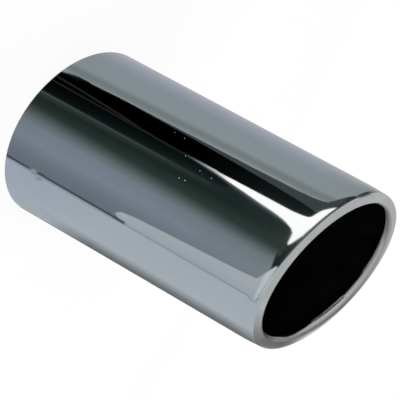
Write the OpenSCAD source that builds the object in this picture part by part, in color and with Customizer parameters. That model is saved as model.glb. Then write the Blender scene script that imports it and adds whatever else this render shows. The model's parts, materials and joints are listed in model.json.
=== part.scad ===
// Round exhaust tip: one rolled sheet, cut square at the inlet end and on a slant at the mouth,
// where the sheet draws in a little and rolls into a bead. All sizes are in millimetres.
// The tip stands on its inlet end, its axis is +Z, and the mouth faces up and towards -Y.

/* [Tube] */
// Outside diameter of the tube
tube_od = 76; // [50:0.5:110]
// Thickness of the sheet
wall_t = 1.2; // [0.8:0.1:1.6]
// Length on the axis, from the inlet face to the plane of the mouth
axis_len = 121; // [100:1:220]
// How much the wall narrows, on the radius, from the straight inlet bore to the mouth
neck_in = 0.06; // [0.02:0.01:0.2]

/* [Mouth] */
// Angle between the plane of the mouth and the plane of the inlet face
slash_angle = 32.5; // [0:0.5:40]
// Outside radius of the rolled bead
bead_r = 2.3; // [2:0.1:3.5]
// How far the wall draws in, on the radius, before it becomes the bead
draw_in = 0.35; // [0.1:0.05:1.5]
// Length of wall over which it draws in
draw_len = 9; // [5:0.5:15]
// How far round the sheet is rolled, counted from the outer wall
curl_sweep = 270; // [200:5:290]

/* [Hidden] */

ring_steps = 72;
outer_steps = 12;
inner_steps = 8;
draw_steps = 4;
// The rolled rim reaches this far down inside the plain wall, thinned by skin_gap on each side
root_len = 1.5;
skin_gap = 0.3;
// The straight inlet bore ends this far below the lowest point of the rolled rim
bore_stop = 1.75;
// Flat facets stand off the round wall by this much, so that they never touch it edge to edge
facet_gap = 0.02;
cut_over = 1;

tube_r = tube_od / 2;
bore_r = tube_r - wall_t;
bead_track = tube_r - draw_in - bead_r;
bead_base = axis_len - bead_r / cos(slash_angle);
// The plain wall ends on this plane, draw_len below the bead's centre line
join_z = bead_base - draw_len;
join_angle = atan(tan(slash_angle) * bead_track / tube_r);
straight_len = join_z - tube_r * tan(join_angle) - bore_stop;
blank_len = axis_len + tube_r * tan(slash_angle) + cut_over;
chord_sag = bore_r * (1 - cos(180 / ring_steps));
mouth_normal = [0, -sin(slash_angle), cos(slash_angle)];

function outward(a) = [cos(a), sin(a), 0];

// Unit vector along the rim's cross-section, square to outward(a) and on the mouth's side
function upward(a) =
    let (v = mouth_normal - (mouth_normal * outward(a)) * outward(a))
    v / norm(v);

function bead_centre(a) =
    bead_track * outward(a) + [0, 0, bead_base + bead_track * sin(a) * tan(slash_angle)];

function bead_point(a, r, turn) =
    bead_centre(a) + r * (cos(turn) * outward(a) + sin(turn) * upward(a));

function wall_point(a, r, depth) =
    r * outward(a) + [0, 0, bead_centre(a)[2] - depth];

// How much the wall has narrowed at height z
function necked(z) = neck_in * max(0, z - straight_len) / (blank_len - straight_len);

// A point on the wall's last stretch, where the radius goes from r0 to r1 as the depth goes to 0
function drawn_point(a, r0, r1, depth) =
    let (start_r = r0 - necked(bead_centre(a)[2] - draw_len))
    wall_point(a, start_r + (r1 - start_r) * pow(1 - depth / draw_len, 2), depth);

// One closed cross-section of the rim: up the outside, round the bead to the sheet's free edge,
// and back along the sheet's inner face
function rim_section(a) = [
    wall_point(a, tube_r - skin_gap, draw_len + root_len),
    for (i = [0 : draw_steps - 1])
        drawn_point(a, tube_r - facet_gap, tube_r - draw_in, draw_len * (1 - i / draw_steps)),
    for (i = [0 : outer_steps]) bead_point(a, bead_r, curl_sweep * i / outer_steps),
    for (i = [inner_steps : -1 : 0]) bead_point(a, bead_r - wall_t, curl_sweep * i / inner_steps),
    for (i = [draw_steps - 1 : -1 : 0])
        drawn_point(a, bore_r + facet_gap + chord_sag, bore_r - draw_in, draw_len * (1 - i / draw_steps)),
    wall_point(a, bore_r + skin_gap, draw_len + root_len),
];

// A solid bar as wide as the tube at radius r: straight at the inlet, then narrowing
module bar(r) {
    cylinder(h = straight_len, r = r, $fn = 180);
    translate([0, 0, straight_len])
        cylinder(h = blank_len - straight_len, r1 = r, r2 = r - neck_in, $fn = 180);
}

module plain_wall() {
    difference() {
        bar(tube_r);
        bar(bore_r);
        translate([0, 0, -cut_over]) cylinder(h = 2 * cut_over, r = bore_r, $fn = 180);
        translate([0, 0, join_z])
            rotate([join_angle, 0, 0])
                translate([-tube_od, -tube_od, 0])
                    cube([2 * tube_od, 2 * tube_od, blank_len]);
    }
}

module rolled_rim() {
    sections = [for (i = [0 : ring_steps - 1]) rim_section(360 * i / ring_steps)];
    count = len(sections[0]);
    polyhedron(
        points = [for (s = sections) each s],
        faces = [
            for (i = [0 : ring_steps - 1], j = [0 : count - 1])
                let (i2 = (i + 1) % ring_steps, j2 = (j + 1) % count)
                [i * count + j, i * count + j2, i2 * count + j2, i2 * count + j]
        ]
    );
}

module tip_shell() {
    color([0.66, 0.69, 0.7]) union() {
        plain_wall();
        rolled_rim();
    }
}

tip_shell();
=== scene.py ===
import json
import math

import bpy
from mathutils import Matrix, Vector


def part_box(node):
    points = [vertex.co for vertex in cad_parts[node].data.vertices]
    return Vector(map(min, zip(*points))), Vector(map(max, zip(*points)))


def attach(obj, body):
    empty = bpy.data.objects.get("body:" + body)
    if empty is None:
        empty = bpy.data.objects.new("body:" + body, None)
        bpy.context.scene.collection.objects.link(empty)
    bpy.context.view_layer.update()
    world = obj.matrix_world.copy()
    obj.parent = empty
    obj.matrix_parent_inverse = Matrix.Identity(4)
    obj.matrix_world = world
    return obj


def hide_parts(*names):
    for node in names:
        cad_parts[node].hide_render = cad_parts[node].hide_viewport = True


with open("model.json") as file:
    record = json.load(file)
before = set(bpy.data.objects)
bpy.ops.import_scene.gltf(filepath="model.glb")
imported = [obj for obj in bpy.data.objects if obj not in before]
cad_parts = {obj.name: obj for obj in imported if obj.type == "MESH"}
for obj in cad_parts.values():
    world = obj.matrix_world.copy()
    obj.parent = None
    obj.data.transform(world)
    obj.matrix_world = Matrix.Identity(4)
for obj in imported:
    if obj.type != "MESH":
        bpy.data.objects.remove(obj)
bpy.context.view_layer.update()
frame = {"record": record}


# small helpers for every node tree

def feed(tree, socket, value):
    if isinstance(value, bpy.types.NodeSocket):
        tree.links.new(value, socket)
    else:
        socket.default_value = value


def calc(tree, operation, *values):
    node = tree.nodes.new("ShaderNodeMath")
    node.operation = operation
    for socket, value in zip(node.inputs, values):
        feed(tree, socket, value)
    return node.outputs[0]


def blend(tree, share, first, second):   # first at share 0, second at share 1
    node = tree.nodes.new("ShaderNodeMix")
    feed(tree, node.inputs["Factor"], share)
    feed(tree, node.inputs["A"], first)
    feed(tree, node.inputs["B"], second)
    return node.outputs["Result"]


def blendColor(tree, share, first, second):
    node = tree.nodes.new("ShaderNodeMix")
    node.data_type = "RGBA"
    feed(tree, node.inputs[0], share)
    feed(tree, node.inputs[6], first)
    feed(tree, node.inputs[7], second)
    return node.outputs[2]


def ramp(tree, value, low, high, toLow=0.0, toHigh=1.0):
    node = tree.nodes.new("ShaderNodeMapRange")
    for name, amount in (("Value", value), ("From Min", low), ("From Max", high),
                         ("To Min", toLow), ("To Max", toHigh)):
        feed(tree, node.inputs[name], amount)
    return node.outputs["Result"]


def useGroup(tree, group, **values):
    node = tree.nodes.new(tree.bl_idname.replace("Tree", "Group"))
    node.node_tree = group
    for name, value in values.items():
        feed(tree, node.inputs[name], value)
    return node.outputs


def newGroup(name, kind, inputs, outputs):
    group = bpy.data.node_groups.new(name, kind)
    for label, socketType, start in inputs:
        socket = group.interface.new_socket(label, in_out="INPUT", socket_type=socketType)
        if start is not None:
            socket.default_value = start
    for label, socketType in outputs:
        group.interface.new_socket(label, in_out="OUTPUT", socket_type=socketType)
    source = group.nodes.new("NodeGroupInput")
    result = group.nodes.new("NodeGroupOutput")
    return group, source.outputs, result.inputs


numberSocket = "NodeSocketFloat"
vectorSocket = "NodeSocketVector"


# the camera: close to the mouth's short side, turned so that the tip lies across the picture

camera = {
    "place": (-0.0557, -0.1347, 0.0897),
    "look": (0.2105, 0.975, -0.0715),
    "roll": 118.4,               # degrees round the line of sight
    "lens": 31.05,
    "sensor": 36,
    "shift": (-0.2, -0.075),     # the photo is an off-centre crop
    "clipStart": 0.01,
}


def makeCamera(settings):
    data = bpy.data.cameras.new("photoCamera")
    data.sensor_width = settings["sensor"]
    data.lens = settings["lens"]
    data.shift_x, data.shift_y = settings["shift"]
    data.clip_start = settings["clipStart"]
    shot = bpy.data.objects.new("photoCamera", data)
    bpy.context.scene.collection.objects.link(shot)
    level = Vector(settings["look"]).to_track_quat("-Z", "Y").to_matrix()
    turned = level @ Matrix.Rotation(math.radians(settings["roll"]), 3, "Z")
    shot.matrix_world = Matrix.Translation(settings["place"]) @ turned.to_4x4()
    bpy.context.scene.camera = shot


makeCamera(camera)


# finishes

chrome = {
    "color": (0.66, 0.69, 0.70, 1),
    "stain": (0.635, 0.667, 0.68, 1),
    "roughness": (0.035, 0.075),     # from clear to hazy patches
    "hazeScale": 38.0,               # per metre
    "rippleScale": 70.0,
    "rippleDepth": 0.000004,
    "speckScale": 480.0,
    "speckSize": 0.00017,
    "speckShare": 0.006,
    "speckColor": (0.6, 0.6, 0.58, 1),
    "speckRoughness": 0.7,
    "dustAngle": 228,                # most of the dust lies about here, in degrees round the tube
    "dustHeight": 0.058,
    "dustReach": 0.02,
    "dustShare": 0.9,
}

rim = {
    "color": (0.74, 0.76, 0.76, 1),
    "stain": (0.68, 0.70, 0.70, 1),
    "roughness": (0.26, 0.36),
    "specular": 0.2,
    "hazeScale": 120.0,
    "grainScale": 1400.0,
    "grainDepth": 0.000006,
    "dullColor": (0.36, 0.358, 0.348, 1),
    "dullMetal": 0.3,
    "dullRoughness": 0.5,
    "dullFrom": (120, 165),             # degrees of the roll over which the satin turns dull
    "dullSide": (-50, -22),             # and the angles round the mouth over which that begins
    "highlightColor": (0.84, 0.84, 0.81, 1),
    "highlightFrom": (152, 185),             # degrees of the roll over which the pale painted highlight comes in
    "highlightShift": [                      # angle round the mouth, and how many degrees later that is there
        (-180, 0), (0, 0), (20, 7), (40, 14), (60, 21), (80, 25), (110, 28), (124, 48), (150, 60),
        (180, 60),
    ],
    "paintedShadeRound": [                        # angle, and how much of its light the rim keeps there: painted shade round the mouth, and painted light where above 1
        (-180, 0.92), (-78, 0.92), (-60, 0.5), (-48, 0.23), (-18, 0.24), (-8, 0.42), (0, 0.78),
        (8, 1.25), (20, 1.05), (30, 0.95), (45, 0.54), (62, 0.56), (84, 0.77), (130, 0.84), (150, 0.8),
        (170, 0.88),
    ],
    "paintedShadeEnds": (120, 158),          # degrees of the roll over which the painted shade ends
    "shadeLine": (110, 166, 0.28),       # a painted shade line round the roll, and how much light it keeps
    "shadeLineSide": (-25, 5, 45, 105),  # it fades in and out over these angles
    "shadeLineShift": 0.5,               # and moves by this share of the painted highlight's shift round the mouth
    "blackEdge": [                      # angle, and degrees of the roll where the painted shade of the hole begins
        (-180, 225), (-60, 176), (-30, 172), (-20, 178), (-10, 163), (0, 174), (10, 189), (19, 208),
        (23, 270), (50, 276), (55, 228), (79, 238), (82, 300), (110, 300), (117, 246), (165, 232),
    ],
    "edgeWander": 4,                    # degrees that the haze moves this edge
    "edgeFade": (-7, 6),                # degrees from this edge over which the painted shade comes in
    "gap": (208, 219),                  # a painted shadow line round the roll
    "gapUpTo": 53,                      # up to this angle
    "darkReflectionAngle": -162,                # a small painted dark reflection where the roll begins
    "darkReflectionReach": (7, 3),              # degrees round the mouth to each side
    "darkReflectionRoll": (24, 14),             # and degrees of the roll over which it ends
    "darkReflectionKeeps": 0.1,
}

# the inside: a dark finish, made near-black as painted shade of the deep bore
inside = {
    "color": (0.0018, 0.0019, 0.002, 1),
    "darkPatch": (0.0008, 0.0008, 0.0008, 1),
    "roughness": (0.62, 0.85),
    "specular": 0.02,
    "darkPatchScale": 90.0,
    "clumpScale": 540.0,
    "clumpDepth": 0.00002,
}


def cloudGroup():   # soft patches: haze as from handling, and darker patches inside
    group, given, out = newGroup(
        "softPatches", "ShaderNodeTree",
        [("Place", vectorSocket, None), ("Scale", numberSocket, 50.0), ("Seed", numberSocket, 0.0),
         ("Low", numberSocket, 0.4), ("High", numberSocket, 0.65)],
        [("Mask", numberSocket)])
    noise = group.nodes.new("ShaderNodeTexNoise")
    noise.noise_dimensions = "4D"
    noise.inputs["Detail"].default_value = 4
    noise.inputs["Roughness"].default_value = 0.55
    feed(group, noise.inputs["Vector"], given["Place"])
    feed(group, noise.inputs["W"], given["Seed"])
    feed(group, noise.inputs["Scale"], given["Scale"])
    feed(group, out["Mask"], ramp(group, noise.outputs["Fac"], given["Low"], given["High"]))
    return group


def speckGroup():   # a few fine grains of dust, one in so many cells
    group, given, out = newGroup(
        "dustSpecks", "ShaderNodeTree",
        [("Place", vectorSocket, None), ("Scale", numberSocket, 240.0), ("Size", numberSocket, 0.0002),
         ("Share", numberSocket, 0.03)],
        [("Mask", numberSocket)])
    cells = group.nodes.new("ShaderNodeTexVoronoi")
    feed(group, cells.inputs["Vector"], given["Place"])
    feed(group, cells.inputs["Scale"], given["Scale"])
    distance = calc(group, "DIVIDE", cells.outputs["Distance"], given["Scale"])
    near = calc(group, "LESS_THAN", distance, given["Size"])
    parts = group.nodes.new("ShaderNodeSeparateColor")
    feed(group, parts.inputs[0], cells.outputs["Color"])
    chosen = calc(group, "LESS_THAN", parts.outputs["Red"], given["Share"])
    feed(group, out["Mask"], calc(group, "MULTIPLY", near, chosen))
    return group


softPatches = cloudGroup()
dustSpecks = speckGroup()


def newFinish(name):
    finish = bpy.data.materials.new(name)
    finish.use_nodes = True
    tree = finish.node_tree
    tree.nodes.clear()
    shader = tree.nodes.new("ShaderNodeBsdfPrincipled")
    result = tree.nodes.new("ShaderNodeOutputMaterial")
    tree.links.new(shader.outputs[0], result.inputs["Surface"])
    place = tree.nodes.new("ShaderNodeTexCoord").outputs["Object"]
    return finish, tree, shader, place


def addBump(tree, shader, height, depth):
    bump = tree.nodes.new("ShaderNodeBump")
    bump.inputs["Strength"].default_value = 1
    bump.inputs["Distance"].default_value = depth
    feed(tree, bump.inputs["Height"], height)
    tree.links.new(bump.outputs[0], shader.inputs["Normal"])


def noiseHeight(tree, place, scale, detail):
    noise = tree.nodes.new("ShaderNodeTexNoise")
    noise.inputs["Detail"].default_value = detail
    feed(tree, noise.inputs["Scale"], scale)
    feed(tree, noise.inputs["Vector"], place)
    return noise.outputs["Fac"]


def polishedChrome(settings):
    finish, tree, shader, place = newFinish("polishedChrome")
    haze = useGroup(tree, softPatches, Place=place, Scale=settings["hazeScale"], Seed=1.0)["Mask"]
    around = math.radians(settings["dustAngle"])
    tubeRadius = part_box(tip["node"])[1].x
    dustPlace = (tubeRadius * math.cos(around), tubeRadius * math.sin(around), settings["dustHeight"])
    toDust = tree.nodes.new("ShaderNodeVectorMath")
    toDust.operation = "DISTANCE"
    feed(tree, toDust.inputs[0], place)
    feed(tree, toDust.inputs[1], dustPlace)
    share = ramp(tree, toDust.outputs["Value"], settings["dustReach"], 0,
                 settings["speckShare"], settings["dustShare"])
    specks = useGroup(tree, dustSpecks, Place=place, Scale=settings["speckScale"],
                      Size=settings["speckSize"], Share=share)["Mask"]
    clean = blendColor(tree, haze, settings["color"], settings["stain"])
    tree.links.new(blendColor(tree, specks, clean, settings["speckColor"]), shader.inputs["Base Color"])
    gloss = ramp(tree, haze, 0, 1, *settings["roughness"])
    speckGloss = calc(tree, "MULTIPLY", specks, settings["speckRoughness"])
    tree.links.new(calc(tree, "MAXIMUM", gloss, speckGloss), shader.inputs["Roughness"])
    tree.links.new(calc(tree, "SUBTRACT", 1, specks), shader.inputs["Metallic"])
    ripple = noiseHeight(tree, place, settings["rippleScale"], 1)
    addBump(tree, shader, ripple, settings["rippleDepth"])
    return finish


def roundMouth(tree, angle, places):   # a value that goes through these (angle, value) places
    node = tree.nodes.new("ShaderNodeValToRGB")
    while len(node.color_ramp.elements) < len(places):
        node.color_ramp.elements.new(1)
    for element, (position, value) in zip(node.color_ramp.elements, places):
        element.position = (position + 180) / 360
        element.color = (value / 360, value / 360, value / 360, 1)
    feed(tree, node.inputs["Fac"], ramp(tree, angle, -180, 180))
    return calc(tree, "MULTIPLY", node.outputs["Color"], 360)


def paintedBlackOn(tree, settings, roll, angle, haze):   # where the rim is painted black: painted shade of the hole, and a painted shadow line
    # past this edge the rim is painted near-black: painted shade of the hole
    edge = calc(tree, "MULTIPLY_ADD", haze, settings["edgeWander"],
                roundMouth(tree, angle, settings["blackEdge"]))
    beyond = ramp(tree, calc(tree, "SUBTRACT", roll, edge), *settings["edgeFade"])
    # a painted shadow line round the roll, on part of the mouth
    gapFrom, gapTo = settings["gap"]
    inGapShadow = calc(tree, "COMPARE", roll, (gapFrom + gapTo) / 2, (gapTo - gapFrom) / 2)
    gap = calc(tree, "MULTIPLY", inGapShadow, calc(tree, "LESS_THAN", angle, settings["gapUpTo"]))
    return calc(tree, "MAXIMUM", beyond, gap)


def keptLight(tree, settings, roll, angle, shift):   # after the painted shade round the mouth, the painted shade line and the painted dark reflection
    # a painted shade line round the roll, fading in and out round the mouth
    shadeLineFrom, shadeLineTo, shadeLineKeeps = settings["shadeLine"]
    shadeLineMiddle = calc(tree, "MULTIPLY_ADD", shift, settings["shadeLineShift"], (shadeLineFrom + shadeLineTo) / 2)
    offShadeLine = calc(tree, "ABSOLUTE", calc(tree, "SUBTRACT", roll, shadeLineMiddle))
    shadeLineReach = calc(tree, "MULTIPLY", ramp(tree, angle, *settings["shadeLineSide"][:2]),
                    ramp(tree, angle, *settings["shadeLineSide"][2:], 1, 0))
    shadeLineLoss = calc(tree, "MULTIPLY", ramp(tree, offShadeLine, (shadeLineTo - shadeLineFrom) / 2, 0, 0, 1 - shadeLineKeeps),
                shadeLineReach)
    # a small painted dark reflection near the start of the roll
    offDarkReflection = calc(tree, "ABSOLUTE", calc(tree, "SUBTRACT", angle, settings["darkReflectionAngle"]))
    darkReflection = calc(tree, "MULTIPLY", ramp(tree, offDarkReflection, *settings["darkReflectionReach"]),
                  ramp(tree, roll, *settings["darkReflectionRoll"], 0, 1 - settings["darkReflectionKeeps"]))
    # painted shade round the mouth (painted light where above 1), fading out deeper in the roll
    paintedShadeOff = ramp(tree, roll, *settings["paintedShadeEnds"])
    kept = blend(tree, paintedShadeOff, roundMouth(tree, angle, settings["paintedShadeRound"]), 1.0)
    for lost in (shadeLineLoss, darkReflection):
        kept = calc(tree, "MULTIPLY", kept, calc(tree, "SUBTRACT", 1, lost))
    return kept


def rolledRim(settings):
    finish, tree, shader, place = newFinish("rolledRim")
    shader.inputs["Specular IOR Level"].default_value = settings["specular"]
    turned = tree.nodes.new("ShaderNodeAttribute")
    turned.attribute_name = "roll"
    roll = turned.outputs["Fac"]
    split = tree.nodes.new("ShaderNodeSeparateXYZ")
    feed(tree, split.inputs[0], place)
    angle = calc(tree, "DEGREES", calc(tree, "ARCTAN2", split.outputs["Y"], split.outputs["X"]))
    haze = useGroup(tree, softPatches, Place=place, Scale=settings["hazeScale"], Seed=2.0)["Mask"]
    dull = calc(tree, "MULTIPLY", ramp(tree, roll, *settings["dullFrom"]),
                ramp(tree, angle, *settings["dullSide"]))
    shift = roundMouth(tree, angle, settings["highlightShift"])
    # pale painted highlight on the inner roll, not metallic, shifted round the mouth into the light
    # crescent
    paintedHighlight = ramp(tree, calc(tree, "SUBTRACT", roll, shift), *settings["highlightFrom"])
    black = paintedBlackOn(tree, settings, roll, angle, haze)

    satinColor = blendColor(tree, haze, settings["color"], settings["stain"])
    dullColor = blendColor(tree, paintedHighlight, settings["dullColor"], settings["highlightColor"])
    shaded = tree.nodes.new("ShaderNodeVectorMath")
    shaded.operation = "SCALE"
    feed(tree, shaded.inputs[0], blendColor(tree, dull, satinColor, dullColor))
    feed(tree, shaded.inputs["Scale"], keptLight(tree, settings, roll, angle, shift))
    # near-black painted shade of the hole, and the painted shadow line
    color = blendColor(tree, black, shaded.outputs[0], inside["color"])
    tree.links.new(color, shader.inputs["Base Color"])

    satin = ramp(tree, haze, 0, 1, *settings["roughness"])
    rough = blend(tree, dull, satin, settings["dullRoughness"])
    tree.links.new(blend(tree, black, rough, inside["roughness"][0]), shader.inputs["Roughness"])
    dullMetal = blend(tree, paintedHighlight, settings["dullMetal"], 0.0)
    metallic = blend(tree, black, blend(tree, dull, 1.0, dullMetal), 0.0)
    tree.links.new(metallic, shader.inputs["Metallic"])
    addBump(tree, shader, noiseHeight(tree, place, settings["grainScale"], 3), settings["grainDepth"])
    return finish


def paintedShadeInside(settings):
    finish, tree, shader, place = newFinish("paintedShadeInside")
    shader.inputs["Specular IOR Level"].default_value = settings["specular"]
    darkPatch = useGroup(tree, softPatches, Place=place, Scale=settings["darkPatchScale"], Seed=3.0)["Mask"]
    # near-black base colour: painted shade of the bore, with darker patches
    tree.links.new(blendColor(tree, darkPatch, settings["color"], settings["darkPatch"]), shader.inputs["Base Color"])
    tree.links.new(ramp(tree, darkPatch, 0, 1, *settings["roughness"]), shader.inputs["Roughness"])
    addBump(tree, shader, noiseHeight(tree, place, settings["clumpScale"], 4), settings["clumpDepth"])
    return finish


# the tip: one sheet swept round the axis, strip by strip, from the inlet over the rim and back

tip = {
    "node": "tip_shell",
    "slash": 32.5,          # degrees between the mouth's plane and the inlet's
    "beadRadius": 0.0023,
    "drawIn": 0.00035,
    "drawLength": 0.009,
    "curl": 270,            # degrees that the sheet is rolled, from the outer wall
    "satinFrom": 9,         # degrees of that roll where the polish turns to satin
    "corner": 0.0002,       # rounding of the cut inlet edge
    "columns": 360,
    "weld": 0.000002,       # points this close become one, where two strips meet
    "sharpBend": 40,        # degrees; an edge that bends more is kept sharp
}


def polarGroup():   # a point at this angle, radius and height, moved sideways by side
    group, given, out = newGroup(
        "polarPoint", "GeometryNodeTree",
        [("Angle", numberSocket, 0.0), ("Radius", numberSocket, 0.0), ("Side", numberSocket, 0.0),
         ("Height", numberSocket, 0.0)],
        [("Point", vectorSocket)])
    cosine = calc(group, "COSINE", given["Angle"])
    sine = calc(group, "SINE", given["Angle"])
    point = group.nodes.new("ShaderNodeCombineXYZ")
    feed(group, point.inputs["X"], calc(group, "SUBTRACT", calc(group, "MULTIPLY", given["Radius"], cosine),
                                        calc(group, "MULTIPLY", given["Side"], sine)))
    feed(group, point.inputs["Y"], calc(group, "ADD", calc(group, "MULTIPLY", given["Radius"], sine),
                                        calc(group, "MULTIPLY", given["Side"], cosine)))
    feed(group, point.inputs["Z"], given["Height"])
    feed(group, out["Point"], point.outputs[0])
    return group


def beadGroup(polarPoint):   # a point round the bead's centre line, in the rim's own cross-section
    group, given, out = newGroup(
        "beadPoint", "GeometryNodeTree",
        [("Angle", numberSocket, 0.0), ("Turn", numberSocket, 0.0), ("Reach", numberSocket, 0.0),
         ("Track", numberSocket, 0.0), ("Base", numberSocket, 0.0), ("Slash", numberSocket, 0.0)],
        [("Point", vectorSocket), ("Centre Height", numberSocket)])
    sine = calc(group, "SINE", given["Angle"])
    slashSine = calc(group, "SINE", given["Slash"])
    lean = calc(group, "MULTIPLY", slashSine, sine)
    length = calc(group, "SQRT", calc(group, "SUBTRACT", 1, calc(group, "MULTIPLY", lean, lean)))
    raised = calc(group, "MULTIPLY", given["Reach"], calc(group, "SINE", given["Turn"]))
    lift = calc(group, "DIVIDE", raised, length)
    centre = calc(group, "MULTIPLY_ADD", calc(group, "MULTIPLY", given["Track"], sine),
                  calc(group, "TANGENT", given["Slash"]), given["Base"])
    radius = calc(group, "MULTIPLY_ADD", given["Reach"], calc(group, "COSINE", given["Turn"]),
                  given["Track"])
    across = calc(group, "MULTIPLY", slashSine, calc(group, "COSINE", given["Angle"]))
    side = calc(group, "MULTIPLY", calc(group, "MULTIPLY", lift, across), -1)
    height = calc(group, "MULTIPLY_ADD", lift, calc(group, "COSINE", given["Slash"]), centre)
    made = useGroup(group, polarPoint, Angle=given["Angle"], Radius=radius, Side=side, Height=height)
    feed(group, out["Point"], made["Point"])
    feed(group, out["Centre Height"], centre)
    return group


def vectorMix(tree, share, first, second):
    node = tree.nodes.new("ShaderNodeMix")
    node.data_type = "VECTOR"
    feed(tree, node.inputs[0], share)
    feed(tree, node.inputs[4], first)
    feed(tree, node.inputs[5], second)
    return node.outputs[1]


def drawnMix(tree, share, first, second):   # height goes evenly, the rest with the square of the share
    even = vectorMix(tree, share, first, second)
    curved = vectorMix(tree, calc(tree, "MULTIPLY", share, share), first, second)
    high = tree.nodes.new("ShaderNodeSeparateXYZ")
    flat = tree.nodes.new("ShaderNodeSeparateXYZ")
    feed(tree, high.inputs[0], even)
    feed(tree, flat.inputs[0], curved)
    point = tree.nodes.new("ShaderNodeCombineXYZ")
    feed(tree, point.inputs["X"], flat.outputs["X"])
    feed(tree, point.inputs["Y"], flat.outputs["Y"])
    feed(tree, point.inputs["Z"], high.outputs["Z"])
    return point.outputs[0]


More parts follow.
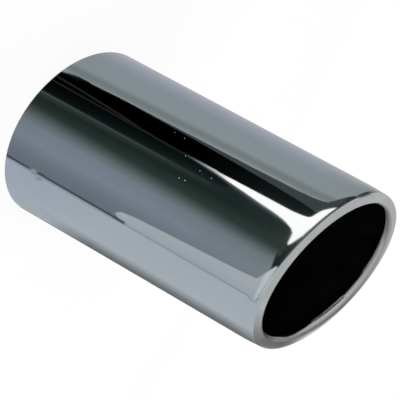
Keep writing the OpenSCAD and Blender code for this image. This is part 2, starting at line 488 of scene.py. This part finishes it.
def shellTree(settings, finishes):
    sizes = ["Tube Radius", "Sheet", "Bead Track", "Bead Base", "Slash Angle", "Bead Radius",
             "Draw Length", "Curl", "Satin From", "Corner"]
    tree, given, out = newGroup(
        "rolledShell", "GeometryNodeTree",
        [("Geometry", "NodeSocketGeometry", None)] + [(name, numberSocket, 0.0) for name in sizes]
        + [("Columns", "NodeSocketInt", 360)],
        [("Geometry", "NodeSocketGeometry")])
    polarPoint = polarGroup()
    beadPoint = beadGroup(polarPoint)
    spot = tree.nodes.new("GeometryNodeInputPosition").outputs[0]
    split = tree.nodes.new("ShaderNodeSeparateXYZ")
    feed(tree, split.inputs[0], spot)
    angle = calc(tree, "MULTIPLY", calc(tree, "ADD", split.outputs["X"], 0.5), 2 * math.pi)
    along = calc(tree, "ADD", split.outputs["Y"], 0.5)
    tube = given["Tube Radius"]
    sheet = given["Sheet"]
    corner = given["Corner"]
    bore = calc(tree, "SUBTRACT", tube, sheet)
    innerReach = calc(tree, "SUBTRACT", given["Bead Radius"], sheet)

    def onWall(radius, height):
        return useGroup(tree, polarPoint, Angle=angle, Radius=radius, Height=height)["Point"]

    def onBead(turn, reach):
        return useGroup(tree, beadPoint, Angle=angle, Turn=turn, Reach=reach, Track=given["Bead Track"],
                        Base=given["Bead Base"], Slash=given["Slash Angle"])

    def roundCorner(radius, way):   # a quarter circle between the wall and the inlet face
        turn = calc(tree, "MULTIPLY", along if way < 0 else calc(tree, "SUBTRACT", 1, along), -math.pi / 2)
        middle = calc(tree, "MULTIPLY_ADD", corner, way, radius)
        outward = calc(tree, "MULTIPLY", corner, -way)
        reach = calc(tree, "MULTIPLY_ADD", outward, calc(tree, "COSINE", turn), middle)
        return onWall(reach, calc(tree, "MULTIPLY_ADD", corner, calc(tree, "SINE", turn), corner))

    # the drawn-in stretch meets the roll where both slope alike
    drawIn = calc(tree, "SUBTRACT", calc(tree, "SUBTRACT", tube, given["Bead Track"]), given["Bead Radius"])
    slope = calc(tree, "DIVIDE", calc(tree, "MULTIPLY", drawIn, 2), given["Draw Length"])
    meet = calc(tree, "ARCTANGENT", slope)
    startHeight = calc(tree, "SUBTRACT", onBead(0.0, 0.0)["Centre Height"], given["Draw Length"])
    outerStart = onWall(tube, startHeight)
    innerStart = onWall(bore, startHeight)
    outerMeet = onBead(meet, given["Bead Radius"])["Point"]
    innerMeet = onBead(meet, innerReach)["Point"]
    down = calc(tree, "SUBTRACT", 1, along)
    curl = given["Curl"]

    rimTurn = blend(tree, along, given["Satin From"], curl)
    strips = [   # rows, finish, point
        (5, "chrome", roundCorner(tube, -1)),
        (90, "chrome", vectorMix(tree, along, onWall(tube, corner), outerStart)),
        (28, "chrome", drawnMix(tree, along, outerStart, outerMeet)),
        (5, "chrome", onBead(blend(tree, along, meet, given["Satin From"]), given["Bead Radius"])["Point"]),
        (60, "rim", onBead(rimTurn, given["Bead Radius"])["Point"]),
        (4, "inside", vectorMix(tree, along, onBead(curl, given["Bead Radius"])["Point"],
                               onBead(curl, innerReach)["Point"])),
        (20, "inside", onBead(blend(tree, along, curl, meet), innerReach)["Point"]),
        (12, "inside", drawnMix(tree, down, innerStart, innerMeet)),
        (30, "inside", vectorMix(tree, along, innerStart, onWall(bore, corner))),
        (5, "inside", roundCorner(bore, 1)),
        (4, "chrome", vectorMix(tree, along, onWall(calc(tree, "ADD", bore, corner), 0.0),
                                onWall(calc(tree, "SUBTRACT", tube, corner), 0.0))),
    ]
    join = tree.nodes.new("GeometryNodeJoinGeometry")
    for rows, finishName, point in strips:
        grid = tree.nodes.new("GeometryNodeMeshGrid")
        grid.inputs["Size X"].default_value = 1
        grid.inputs["Size Y"].default_value = 1
        feed(tree, grid.inputs["Vertices X"], calc(tree, "ADD", given["Columns"], 1))
        grid.inputs["Vertices Y"].default_value = rows
        note = tree.nodes.new("GeometryNodeStoreNamedAttribute")   # how far round the roll, for the finish
        feed(tree, note.inputs["Geometry"], grid.outputs["Mesh"])
        note.inputs["Name"].default_value = "roll"
        feed(tree, note.inputs["Value"], calc(tree, "DEGREES", rimTurn) if finishName == "rim" else 0.0)
        move = tree.nodes.new("GeometryNodeSetPosition")
        feed(tree, move.inputs["Geometry"], note.outputs["Geometry"])
        feed(tree, move.inputs["Position"], point)
        paint = tree.nodes.new("GeometryNodeSetMaterial")
        feed(tree, paint.inputs["Geometry"], move.outputs[0])
        paint.inputs["Material"].default_value = finishes[finishName]
        tree.links.new(paint.outputs[0], join.inputs[0])
    merge = tree.nodes.new("GeometryNodeMergeByDistance")
    feed(tree, merge.inputs["Geometry"], join.outputs[0])
    merge.inputs["Distance"].default_value = settings["weld"]
    smooth = tree.nodes.new("GeometryNodeSetShadeSmooth")
    feed(tree, smooth.inputs["Geometry"], merge.outputs[0])
    bend = tree.nodes.new("GeometryNodeInputMeshEdgeAngle")
    sharp = tree.nodes.new("GeometryNodeSetShadeSmooth")
    sharp.domain = "EDGE"
    feed(tree, sharp.inputs["Geometry"], smooth.outputs[0])
    limit = math.radians(settings["sharpBend"])
    feed(tree, sharp.inputs["Selection"], calc(tree, "GREATER_THAN", bend.outputs["Unsigned Angle"], limit))
    sharp.inputs["Shade Smooth"].default_value = False
    realize = tree.nodes.new("GeometryNodeRealizeInstances")
    feed(tree, realize.inputs[0], sharp.outputs[0])
    feed(tree, out["Geometry"], realize.outputs[0])
    return tree


def runTree(name, tree, values):
    start = bpy.data.objects.new(name + "Start", bpy.data.meshes.new(name + "Start"))
    bpy.context.scene.collection.objects.link(start)
    modifier = start.modifiers.new("shape", "NODES")
    modifier.node_group = tree
    for item in tree.interface.items_tree:
        if item.in_out == "INPUT" and item.name in values:
            modifier[item.identifier] = values[item.name]
    shaped = start.evaluated_get(bpy.context.evaluated_depsgraph_get())
    mesh = bpy.data.meshes.new_from_object(shaped)
    bpy.data.objects.remove(start)
    mesh.name = name
    piece = bpy.data.objects.new(name, mesh)
    bpy.context.scene.collection.objects.link(piece)
    return piece


def makeTip(settings, finishes):
    low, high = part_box(settings["node"])
    tubeRadius = high.x
    boreRadius = frame["record"]["mounts"][0]["dims"]["r_mm"] / 1000
    beadRadius = settings["beadRadius"]
    slash = math.radians(settings["slash"])
    track = tubeRadius - settings["drawIn"] - beadRadius
    base = high.z - beadRadius - track * math.tan(slash)   # height of the bead's centre line on the axis
    piece = runTree("tipShell", shellTree(settings, finishes), {
        "Tube Radius": tubeRadius,
        "Sheet": tubeRadius - boreRadius,
        "Bead Track": track,
        "Bead Base": base,
        "Slash Angle": slash,
        "Bead Radius": beadRadius,
        "Draw Length": settings["drawLength"],
        "Curl": math.radians(settings["curl"]),
        "Satin From": math.radians(settings["satinFrom"]),
        "Corner": settings["corner"],
        "Columns": settings["columns"],
    })
    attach(piece, "root")
    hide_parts(settings["node"])
    print("tip made:", len(piece.data.polygons), "faces,", len(finishes), "finishes")


finishes = {"chrome": polishedChrome(chrome), "rim": rolledRim(rim), "inside": paintedShadeInside(inside)}
print("finishes made:", ", ".join(finishes))
makeTip(tip, finishes)


# the studio: a pale floor, soft lamps, and cards that show only as reflections in the metal

studio = {
    "cardRadius": 0.5,
    "cardHeight": 0.1,           # the height from which the cards' elevations are counted
    "cardStep": 0.0005,          # each card in the list stands this much nearer than the one before
    "floorLevel": -50,           # a card that starts at this elevation reaches the floor
    "cardFoot": -78,             # and goes on down to this one
    "sky": (0.66, 0.68, 0.685),  # tone in the metal of what is above and below the cards
    "ambient": 0.45,
    "floorSize": 3.0,
    "floorColor": 0.9,
    "floorGlow": (0.88, 1.0),    # how white the floor shows to the camera, near the tip and far from it
    "floorNear": (0.1, 1.2),     # metres
}

# A card's left and right edges are lists of (elevation, azimuth) in degrees, going up. Tones are what
# the metal shows of it, from left to right, in display values. With topTones the card turns to them
# over the elevations in fade, or over its whole height.
cards = [
    {"name": "backDrop", "left": [(-50, 5), (15, 5)], "right": [(-50, 95), (15, 95)],
     "fade": (6, 15), "topTones": [(0.66, 0.68, 0.68), (0.66, 0.68, 0.68)],
     "tones": [(0.40, 0.43, 0.43), (0.42, 0.45, 0.45), (0.22, 0.24, 0.24), (0.24, 0.26, 0.26),
               (0.5, 0.53, 0.55)]},
    {"name": "leftBeam", "left": [(8, 130), (15.4, 130)], "right": [(8, 226), (13.2, 226)],
     "tones": [(0.12, 0.14, 0.15), (0.2, 0.23, 0.24)]},
    {"name": "rightBeam", "left": [(4, 225), (13.2, 225)],
     "right": [(4, 281), (6.5, 281), (8.6, 276), (10, 274)],
     "tones": [(0.2, 0.23, 0.23), (0.15, 0.18, 0.17), (0.09, 0.12, 0.12)]},
    {"name": "darkGap", "left": [(-44, 165), (13, 165)], "right": [(-44, 206), (13, 206)],
     "tones": [(0.22, 0.25, 0.26), (0.22, 0.25, 0.26)]},
    {"name": "blackFlag", "left": [(-50, 192), (-25, 193.5), (-15, 195), (-5, 197), (0, 198.5), (9, 203)],
     "right": [(-50, 217), (9, 217)], "fade": (-20, 6),
     "tones": [(0, 0, 0), (0, 0, 0)], "topTones": [(0.07, 0.11, 0.11), (0.16, 0.19, 0.18)]},
    {"name": "greyWall", "left": [(-50, 90), (15.5, 90)],
     "right": [(-50, 203), (-43.4, 199.5), (-42.9, 196.5), (-41.8, 194.2), (-39, 193), (-35, 192),
               (-10, 189.3), (0, 187), (7, 185.9), (8.9, 183),
               (10.2, 177), (11.6, 168), (13.2, 156), (15.5, 150)],
     "tones": [(0.6, 0.62, 0.65), (0.6, 0.62, 0.66), (0.56, 0.59, 0.63), (0.51, 0.55, 0.58),
               (0.52, 0.56, 0.57), (0.51, 0.55, 0.56)], "fade": (-5, 14),
     "topTones": [(0.61, 0.63, 0.63), (0.6, 0.62, 0.62), (0.53, 0.56, 0.57), (0.5, 0.54, 0.56),
                  (0.51, 0.55, 0.56), (0.51, 0.55, 0.56)]},
    {"name": "wallFold", "left": [(-50, 181), (-40, 179), (-20, 174.5), (0, 172), (10.5, 171)],
     "right": [(-50, 195), (-38, 191.5), (-20, 187.5), (0, 185), (9, 184)],
     "tones": [(0.52, 0.56, 0.57), (0.44, 0.47, 0.48), (0.47, 0.5, 0.51)]},
    {"name": "foldRim", "left": [(-40, 192.6), (-35, 191.6), (-10, 188.3), (0, 186.3)],
     "right": [(-40, 194.2), (-35, 192.4), (-10, 189.2), (0, 187.5)],
     "tones": [(0.5, 0.54, 0.54), (0.62, 0.65, 0.65)]},
    {"name": "darkWall", "left": [(-50, 214), (8, 214)], "right": [(-50, 262), (8, 262)], "fade": (-10, 6),
     "tones": [(0.13, 0.17, 0.16), (0.12, 0.16, 0.16), (0.11, 0.15, 0.14), (0.17, 0.21, 0.2),
               (0.19, 0.23, 0.22)],
     "topTones": [(0.17, 0.2, 0.2), (0.16, 0.19, 0.19), (0.16, 0.2, 0.19), (0.18, 0.22, 0.2),
                  (0.2, 0.24, 0.22)]},
    {"name": "darkCorner", "left": [(-50, 214), (-13, 214)], "right": [(-50, 230), (-13, 229)],
     "tones": [(0, 0, 0), (0.01, 0.02, 0.02), (0.02, 0.03, 0.03), (0.04, 0.06, 0.06)],
     "topTones": [(0.03, 0.06, 0.06), (0.05, 0.08, 0.08), (0.08, 0.11, 0.11), (0.12, 0.16, 0.16)]},
    {"name": "greenStripe", "left": [(-50, 229.3), (-16, 229)], "right": [(-50, 238), (-16, 234)],
     "tones": [(0.21, 0.25, 0.24), (0.13, 0.17, 0.16)],
     "topTones": [(0.17, 0.21, 0.2), (0.13, 0.17, 0.16)]},
    {"name": "stripeEdge", "left": [(-50, 230.4), (-24, 229.6)], "right": [(-50, 232), (-24, 231.2)],
     "tones": [(0.2, 0.24, 0.23), (0.29, 0.32, 0.32), (0.19, 0.23, 0.22)],
     "topTones": [(0.17, 0.21, 0.2), (0.24, 0.27, 0.27), (0.17, 0.21, 0.2)]},
    {"name": "thinLine", "left": [(-50, 203), (-41, 206.3), (-35, 209.3), (-29, 213), (-21, 214.5)],
     "right": [(-50, 206), (-41, 209.3), (-35, 212.3), (-29, 216), (-21, 217)],
     "tones": [(0, 0, 0), (0.19, 0.19, 0.19), (0.01, 0.02, 0.02)]},
    {"name": "thinLineBehind", "left": [(-50, 211.5), (-30, 213)], "right": [(-50, 214.5), (-30, 216)],
     "tones": [(0, 0, 0), (0.17, 0.17, 0.17), (0.01, 0.02, 0.02)]},
    {"name": "wallTurn", "left": [(-50, 247), (5.6, 254.3)], "right": [(-50, 267), (6.6, 270.3)],
     "tones": [(0.17, 0.21, 0.2), (0.29, 0.33, 0.34), (0.39, 0.42, 0.44), (0.44, 0.48, 0.51)],
     "topTones": [(0.18, 0.21, 0.2), (0.26, 0.3, 0.3), (0.37, 0.41, 0.42), (0.42, 0.47, 0.48)]},
    {"name": "blueWall", "left": [(-50, 266), (6.6, 268.9)],
     "right": [(-50, 316), (4.4, 316), (7.6, 281)], "fade": (-30, 6),
     "tones": [(0.44, 0.48, 0.52), (0.47, 0.5, 0.56), (0.41, 0.44, 0.48), (0.38, 0.42, 0.46)],
     "topTones": [(0.42, 0.46, 0.47), (0.45, 0.49, 0.51), (0.45, 0.49, 0.51), (0.45, 0.49, 0.51)]},
    {"name": "wedgeFringe", "left": [(-19, 214.5), (-10, 219), (-3, 223.5), (2, 228)],
     "right": [(-19, 217.5), (-15, 220), (-10, 224.5), (-5, 227.5), (2, 230)],
     "tones": [(0.62, 0.65, 0.66), (0.27, 0.3, 0.31), (0.15, 0.19, 0.19)]},
    {"name": "whiteTip", "left": [(-23, 213.8), (-16, 213.8)], "right": [(-23, 216.3), (-16, 217)],
     "tones": [(0, 0, 0), (0.1, 0.13, 0.13), (0.02, 0.03, 0.03)],
     "topTones": [(0.7, 0.72, 0.72), (0.9, 0.92, 0.92), (0.4, 0.43, 0.43)]},
    {"name": "whiteSheet",
     "left": [(-17.3, 214.6), (-10, 213.8), (0, 213.1), (5, 212.7), (7.2, 211.8), (8.3, 209.5), (8.8, 205),
              (9.8, 197), (13, 185)],
     "right": [(-17.3, 216), (-14, 218), (-10, 220.1), (-7, 222), (-3, 223.9), (1, 227.5), (4.5, 231),
               (6.5, 235), (7.8, 249), (8.9, 245), (10.8, 234), (11.8, 220), (13, 188)],
     "tones": [(0.72, 0.74, 0.74), (0.6, 0.62, 0.63)], "fade": (-17, -13),
     "topTones": [(1, 1, 1), (1, 1, 1)]},
    {"name": "paleSheet",
     "left": [(-27, 307), (-26.3, 303.5), (-24, 301.3), (-18, 299), (-3, 294.5), (4, 293),
              (5.5, 287), (7.3, 279.5), (8.6, 273.5), (9.3, 272)],
     "right": [(-27, 309), (-26, 313), (-25, 315), (9.3, 315)],
     "tones": [(0.63, 0.66, 0.68), (0.62, 0.65, 0.68), (0.59, 0.62, 0.65)]},
    {"name": "sheetTop", "left": [(5.6, 286), (7, 281), (8.6, 274), (9.6, 272.5)],
     "right": [(5.6, 313), (7, 316), (8.2, 311), (9.6, 290)], "fade": (5.6, 6.8),
     "tones": [(0.61, 0.65, 0.67), (0.62, 0.65, 0.68)],
     "topTones": [(0.71, 0.74, 0.77), (0.69, 0.72, 0.75)]},
    {"name": "paleWall", "left": [(-50, 316), (12, 316)], "right": [(-50, 361), (12, 361)],
     "fade": (-42, -28),
     "tones": [(0.6, 0.64, 0.69), (0.61, 0.65, 0.7)], "topTones": [(0.63, 0.66, 0.69), (0.64, 0.67, 0.7)]},
    {"name": "farFoot", "left": [(-50, 360), (-36, 360)], "right": [(-50, 400), (-36, 396)],
     "tones": [(0.61, 0.65, 0.69), (0.58, 0.61, 0.64)]},
    {"name": "farFade", "left": [(-36, 360), (-29, 360)], "right": [(-36, 396), (-29, 396)],
     "tones": [(0.61, 0.65, 0.69), (0.58, 0.61, 0.64)],
     "topTones": [(0.64, 0.67, 0.69), (0.51, 0.54, 0.56), (0.39, 0.41, 0.43), (0.36, 0.39, 0.39)]},
    {"name": "farShade", "left": [(-29, 360), (14, 360)], "right": [(-29, 396), (14, 396)], "fade": (1, 9),
     "tones": [(0.64, 0.67, 0.69), (0.51, 0.54, 0.56), (0.39, 0.41, 0.43), (0.36, 0.39, 0.39)],
     "topTones": [(0.62, 0.67, 0.67), (0.54, 0.59, 0.59), (0.46, 0.49, 0.5), (0.4, 0.42, 0.43)]},
    {"name": "sheetEdge", "left": [(-25, 313.4), (3, 313.8), (6, 317)],
     "right": [(-25, 316.6), (3, 316.8), (6.6, 320.5)],
     "tones": [(0.59, 0.62, 0.65), (0.5, 0.54, 0.57), (0.64, 0.67, 0.69)]},
    {"name": "seamDark", "left": [(-50, 311.2), (-25, 311.9)], "right": [(-50, 315), (-25, 315)],
     "tones": [(0.39, 0.43, 0.46), (0.2, 0.23, 0.27), (0.23, 0.26, 0.3), (0.48, 0.51, 0.54)]},
    {"name": "seamLight", "left": [(-50, 315), (-27, 315.2)], "right": [(-50, 317.2), (-27, 317.2)],
     "tones": [(0.62, 0.65, 0.68), (0.6, 0.63, 0.67), (0.48, 0.51, 0.54), (0.62, 0.65, 0.69)]},
    {"name": "seamKnot", "left": [(-40.1, 310.5), (-39.2, 310)], "right": [(-39.9, 319), (-39.3, 318.5)],
     "tones": [(0.42, 0.46, 0.49), (0.58, 0.61, 0.65), (0.52, 0.55, 0.58), (0.6, 0.63, 0.66)]},
    {"name": "knotShade", "left": [(-39.1, 310.5), (-38.1, 311)], "right": [(-39, 323.5), (-38.4, 322)],
     "tones": [(0.3, 0.34, 0.37), (0.19, 0.22, 0.25), (0.6, 0.63, 0.66), (0.5, 0.53, 0.56),
               (0.5, 0.53, 0.57), (0.6, 0.63, 0.67)]},
    {"name": "hook", "left": [(14.1, 112), (15.5, 112)], "right": [(13.8, 155), (16.5, 155)],
     "tones": [(0.53, 0.54, 0.53), (0.47, 0.48, 0.47), (0.2, 0.22, 0.23), (0.14, 0.16, 0.17),
               (0.3, 0.32, 0.33)]},
    {"name": "topSeam", "left": [(9.5, 275), (10, 275)], "right": [(6.8, 318), (7.3, 318)],
     "tones": [(0.5, 0.53, 0.53), (0.62, 0.65, 0.66), (0.57, 0.6, 0.61), (0.45, 0.48, 0.49)]},
]


def onEdge(edge, elevation):
    for (low, azLow), (high, azHigh) in zip(edge, edge[1:]):
        if elevation <= high:
            return azLow + (azHigh - azLow) * max(0, elevation - low) / (high - low)
    return edge[-1][1]


def toneAt(tones, share):
    place = share * (len(tones) - 1)
    first = min(int(place), len(tones) - 2)
    return [a + (b - a) * (place - first) for a, b in zip(tones[first], tones[first + 1])]


def glowOf(tone):   # what a card must give off for the chrome to show this tone
    linear = [(value + 0.055) ** 2.4 / 1.055 ** 2.4 if value > 0.04 else value / 12.92 for value in tone]
    return [value / share for value, share in zip(linear, chrome["color"])]


def glowMaterial():
    glow = bpy.data.materials.new("cardGlow")
    glow.use_nodes = True
    tree = glow.node_tree
    tree.nodes.clear()
    shade = tree.nodes.new("ShaderNodeAttribute")
    shade.attribute_name = "glow"
    light = tree.nodes.new("ShaderNodeEmission")
    result = tree.nodes.new("ShaderNodeOutputMaterial")
    tree.links.new(shade.outputs["Color"], light.inputs["Color"])
    tree.links.new(light.outputs[0], result.inputs["Surface"])
    return glow


def edgePoint(edge, share):
    elevation = edge[0][0] + (edge[-1][0] - edge[0][0]) * share
    return elevation, onEdge(edge, elevation)


def makeCard(card, radius, glow, columns=96, rows=96):
    low, high = card.get("fade", (card["left"][0][0], card["left"][-1][0]))
    points = []
    shades = []
    heights = [j / rows for j in range(rows + 1)]
    if card["left"][0][0] == studio["floorLevel"]:
        heights.insert(0, None)   # one row more, down at cardFoot
    for height in heights:
        leftElevation, leftAzimuth = edgePoint(card["left"], height or 0)
        rightElevation, rightAzimuth = edgePoint(card["right"], height or 0)
        turned = min(1, max(0, (leftElevation - low) / (high - low)))
        if height is None:
            leftElevation = rightElevation = studio["cardFoot"]
        for i in range(columns + 1):
            across = i / columns
            elevation = math.radians(leftElevation + (rightElevation - leftElevation) * across)
            azimuth = math.radians(leftAzimuth + (rightAzimuth - leftAzimuth) * across)
            points.append((radius * math.cos(azimuth), radius * math.sin(azimuth),
                           studio["cardHeight"] + radius * math.tan(elevation)))
            tone = toneAt(card["tones"], across)
            topTone = toneAt(card.get("topTones", card["tones"]), across)
            shades.append(glowOf([a + (b - a) * turned for a, b in zip(tone, topTone)]))
    faces = []
    for j in range(len(heights) - 1):
        for k in range(j * (columns + 1), j * (columns + 1) + columns):
            faces.append((k, k + 1, k + columns + 2, k + columns + 1))
    mesh = bpy.data.meshes.new(card["name"])
    mesh.from_pydata(points, [], faces)
    attribute = mesh.attributes.new("glow", "FLOAT_COLOR", "POINT")
    attribute.data.foreach_set("color", [value for shade in shades for value in (*shade, 1)])
    mesh.materials.append(glow)
    standing = bpy.data.objects.new(card["name"], mesh)
    bpy.context.scene.collection.objects.link(standing)
    standing.visible_camera = False
    standing.visible_diffuse = False
    standing.visible_shadow = False
    standing.visible_transmission = False


def makeFloor(settings):
    half = settings["floorSize"] / 2
    mesh = bpy.data.meshes.new("floor")
    corners = [(-half, -half, 0), (half, -half, 0), (half, half, 0), (-half, half, 0)]
    mesh.from_pydata(corners, [], [(0, 1, 2, 3)])
    paper = bpy.data.materials.new("floorPaper")
    paper.use_nodes = True
    tree = paper.node_tree
    tree.nodes.clear()
    matte = tree.nodes.new("ShaderNodeBsdfDiffuse")
    matte.inputs["Color"].default_value = (settings["floorColor"],) * 3 + (1,)
    white = tree.nodes.new("ShaderNodeEmission")
    rays = tree.nodes.new("ShaderNodeLightPath")
    mix = tree.nodes.new("ShaderNodeMixShader")
    away = tree.nodes.new("ShaderNodeVectorMath")
    away.operation = "LENGTH"
    feed(tree, away.inputs[0], tree.nodes.new("ShaderNodeTexCoord").outputs["Object"])
    shown = ramp(tree, away.outputs["Value"], *settings["floorNear"], *settings["floorGlow"])
    feed(tree, mix.inputs[0], calc(tree, "MULTIPLY", rays.outputs["Is Camera Ray"], shown))
    tree.links.new(matte.outputs[0], mix.inputs[1])
    tree.links.new(white.outputs[0], mix.inputs[2])
    result = tree.nodes.new("ShaderNodeOutputMaterial")
    tree.links.new(mix.outputs[0], result.inputs["Surface"])
    mesh.materials.append(paper)
    floor = bpy.data.objects.new("floor", mesh)
    floor.visible_glossy = False
    bpy.context.scene.collection.objects.link(floor)


def makeWorld(settings):
    world = bpy.data.worlds.new("studioWorld")
    world.use_nodes = True
    tree = world.node_tree
    tree.nodes.clear()
    sky = (*glowOf(settings["sky"]), 1)
    rays = tree.nodes.new("ShaderNodeLightPath")
    ambient = (settings["ambient"],) * 3 + (1,)
    unseen = blendColor(tree, rays.outputs["Is Glossy Ray"], ambient, sky)
    color = blendColor(tree, rays.outputs["Is Camera Ray"], unseen, (1, 1, 1, 1))
    light = tree.nodes.new("ShaderNodeBackground")
    tree.links.new(color, light.inputs["Color"])
    result = tree.nodes.new("ShaderNodeOutputWorld")
    tree.links.new(light.outputs[0], result.inputs["Surface"])
    bpy.context.scene.world = world


lamps = [
    {"name": "keyLamp", "place": (-0.6, -0.7, 1.1), "size": 0.9, "power": 9},
    {"name": "fillLamp", "place": (0.9, -0.3, 0.8), "size": 0.9, "power": 5},
    {"name": "backLamp", "place": (0.1, 0.9, 1.0), "size": 0.9, "power": 5},
]


def makeLamp(settings):
    data = bpy.data.lights.new(settings["name"], "AREA")
    data.shape = "DISK"
    data.size = settings["size"]
    data.energy = settings["power"]
    lamp = bpy.data.objects.new(settings["name"], data)
    place = Vector(settings["place"])
    aim = (-place).to_track_quat("-Z", "Y").to_matrix().to_4x4()
    lamp.matrix_world = Matrix.Translation(place) @ aim
    lamp.visible_glossy = False
    bpy.context.scene.collection.objects.link(lamp)


def makeStudio():
    glow = glowMaterial()
    for number, card in enumerate(cards):
        makeCard(card, studio["cardRadius"] - number * studio["cardStep"], glow)
    makeFloor(studio)
    makeWorld(studio)
    for lamp in lamps:
        makeLamp(lamp)
    bpy.context.scene.view_settings.view_transform = "Standard"
    print("studio made:", len(cards), "cards,", len(lamps), "lamps")


makeStudio()
